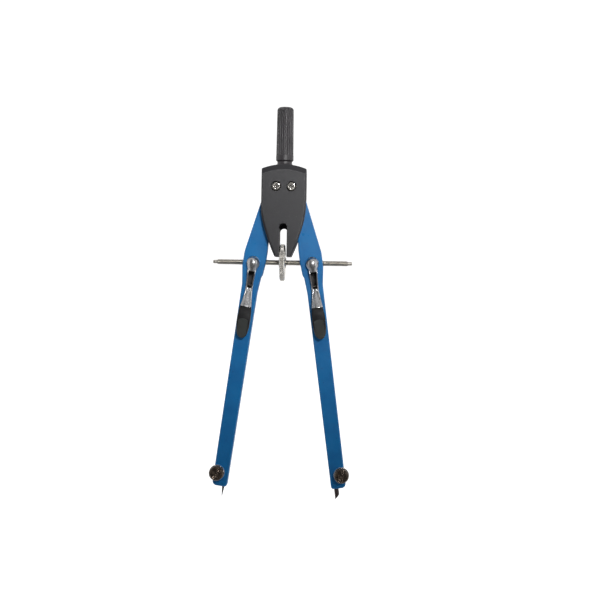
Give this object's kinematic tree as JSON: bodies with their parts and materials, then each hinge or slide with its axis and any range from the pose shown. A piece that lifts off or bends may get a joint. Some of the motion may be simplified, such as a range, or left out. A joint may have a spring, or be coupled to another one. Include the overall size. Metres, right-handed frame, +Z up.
{
  "type": "drawing compass",
  "caption": "Quick-setting masterbow drawing compass: fluted handle, geared head, spindle with centre wheel, blue legs with release levers, needle and lead.",
  "frame": {"origin": "on the paper plane, midway between the needle's tip and the lead's tip, with the compass upright", "axes": "+Z up the handle, +X from the needle leg to the lead leg, -Y out of the front of the head"},
  "size_m": [0.0609, 0.0166, 0.1703],
  "materials": {
    "blue_paint": "satin stoved paint",
    "black_cover": "satin moulded",
    "black_grip": "satin, fluted",
    "black_pad": "semi-gloss moulded",
    "nickel": "bright nickel plate",
    "satin_nickel": "satin nickel plate",
    "steel": "ground steel",
    "dark_nickel": "dark nickelled brass, turned",
    "brass": "turned",
    "graphite": "ground graphite"
  },
  "bodies": {
    "head": {"head_front_cover": "black_cover", "head_back_cover": "black_cover", "head_core": "black_cover", "head_dowels": "steel", "pivot_screws": "nickel", "pivot_bushes": "brass", "friction_washers": "steel", "pivot_inserts": "brass", "handle_grip": "black_grip", "handle_collar": "black_grip", "handle_stud": "steel"},
    "left_leg": {"leg_left": "blue_paint", "lever_pin_left": "steel", "lever_spring_left": "steel", "clamp_washer_left": "nickel"},
    "left_nut": {"swivel_nut_left": "brass"},
    "left_jaw": {"thread_jaw_left": "steel"},
    "left_lever": {"release_lever_left": "satin_nickel", "lever_pad_left": "black_pad", "jaw_clip_left": "steel"},
    "left_clamp": {"clamp_screw_left": "dark_nickel"},
    "right_leg": {"leg_right": "blue_paint", "lever_pin_right": "steel", "lever_spring_right": "steel", "clamp_washer_right": "nickel"},
    "right_nut": {"swivel_nut_right": "brass"},
    "right_jaw": {"thread_jaw_right": "steel"},
    "right_lever": {"release_lever_right": "satin_nickel", "lever_pad_right": "black_pad", "jaw_clip_right": "steel"},
    "right_clamp": {"clamp_screw_right": "dark_nickel"},
    "needle_point": {"needle": "steel"},
    "lead_point": {"lead": "graphite"},
    "guides": {"wheel_guides": "steel"},
    "spindle_set": {"spindle": "steel", "spindle_wheel": "nickel"}
  },
  "joints": [
    {"name": "wheel_turn", "type": "hinge", "parent": "guides", "child": "spindle_set", "pos_m": [-0.0002, 0, 0.1028], "axis": [1, 0, 0], "range_deg": [-1814, 5336]},
    {"name": "left_leg_swing", "type": "hinge", "parent": "head", "child": "left_leg", "pos_m": [-0.0033, 0, 0.1356], "axis": [0, 1, 0], "range_deg": [-9.5, 28]},
    {"name": "left_nut_swivel", "type": "hinge", "parent": "left_leg", "child": "left_nut", "pos_m": [-0.01275, 0, 0.1028], "axis": [0, -1, 0], "range_deg": [-9.5, 28]},
    {"name": "left_lever_press", "type": "hinge", "parent": "left_leg", "child": "left_lever", "pos_m": [-0.01415, -0.0014, 0.09268], "axis": [0.9905, 0, -0.1374], "range_deg": [0, 6.3], "stiffness_Nm_per_rad": 0.05, "springref_deg": -17.19, "deforming": ["lever_spring_left"]},
    {"name": "left_jaw_lift", "type": "slide", "parent": "left_nut", "child": "left_jaw", "axis": [0, -1, 0], "range_m": [0, 0.00105]},
    {"name": "left_clamp_turn", "type": "hinge", "parent": "left_leg", "child": "left_clamp", "pos_m": [-0.02709, 0, 0.01109], "axis": [0, -1, 0], "range_deg": [0, 540]},
    {"name": "right_leg_swing", "type": "hinge", "parent": "head", "child": "right_leg", "pos_m": [0.0033, 0, 0.1356], "axis": [0, -1, 0], "range_deg": [-9.5, 28]},
    {"name": "right_nut_swivel", "type": "hinge", "parent": "right_leg", "child": "right_nut", "pos_m": [0.01275, 0, 0.1028], "axis": [0, 1, 0], "range_deg": [-9.5, 28]},
    {"name": "right_lever_press", "type": "hinge", "parent": "right_leg", "child": "right_lever", "pos_m": [0.01415, -0.0014, 0.09268], "axis": [0.9905, 0, 0.1374], "range_deg": [0, 6.3], "stiffness_Nm_per_rad": 0.05, "springref_deg": -17.19, "deforming": ["lever_spring_right"]},
    {"name": "right_jaw_lift", "type": "slide", "parent": "right_nut", "child": "right_jaw", "axis": [0, -1, 0], "range_m": [0, 0.00105]},
    {"name": "right_clamp_turn", "type": "hinge", "parent": "right_leg", "child": "right_clamp", "pos_m": [0.02709, 0, 0.01109], "axis": [0, -1, 0], "range_deg": [0, 540]},
    {"name": "spindle_slide", "type": "slide", "parent": "left_nut", "child": "guides", "axis": [1, 0, 0], "range_m": [-0.0051, 0.0149]},
    {"name": "needle_slide", "type": "slide", "parent": "left_leg", "child": "needle_point", "axis": [-0.1374, 0, -0.9905], "range_m": [-0.002, 0.004]},
    {"name": "lead_slide", "type": "slide", "parent": "right_leg", "child": "lead_point", "axis": [0.1374, 0, -0.9905], "range_m": [-0.003, 0.008]}
  ],
  "couplings": [
    {"joint": "left_nut_swivel", "follows": "left_leg_swing", "ratio": 1},
    {"joint": "left_jaw_lift", "follows": "left_lever_press", "m_per_rad": 0.0091},
    {"joint": "right_leg_swing", "follows": "left_leg_swing", "ratio": 1},
    {"joint": "right_nut_swivel", "follows": "left_leg_swing", "ratio": 1},
    {"joint": "right_jaw_lift", "follows": "right_lever_press", "m_per_rad": 0.0091},
    {"joint": "spindle_slide", "follows": "left_leg_swing", "m_per_rad": 0.0303},
    {"joint": "wheel_turn", "follows": "left_leg_swing", "ratio": 190.38}
  ]
}
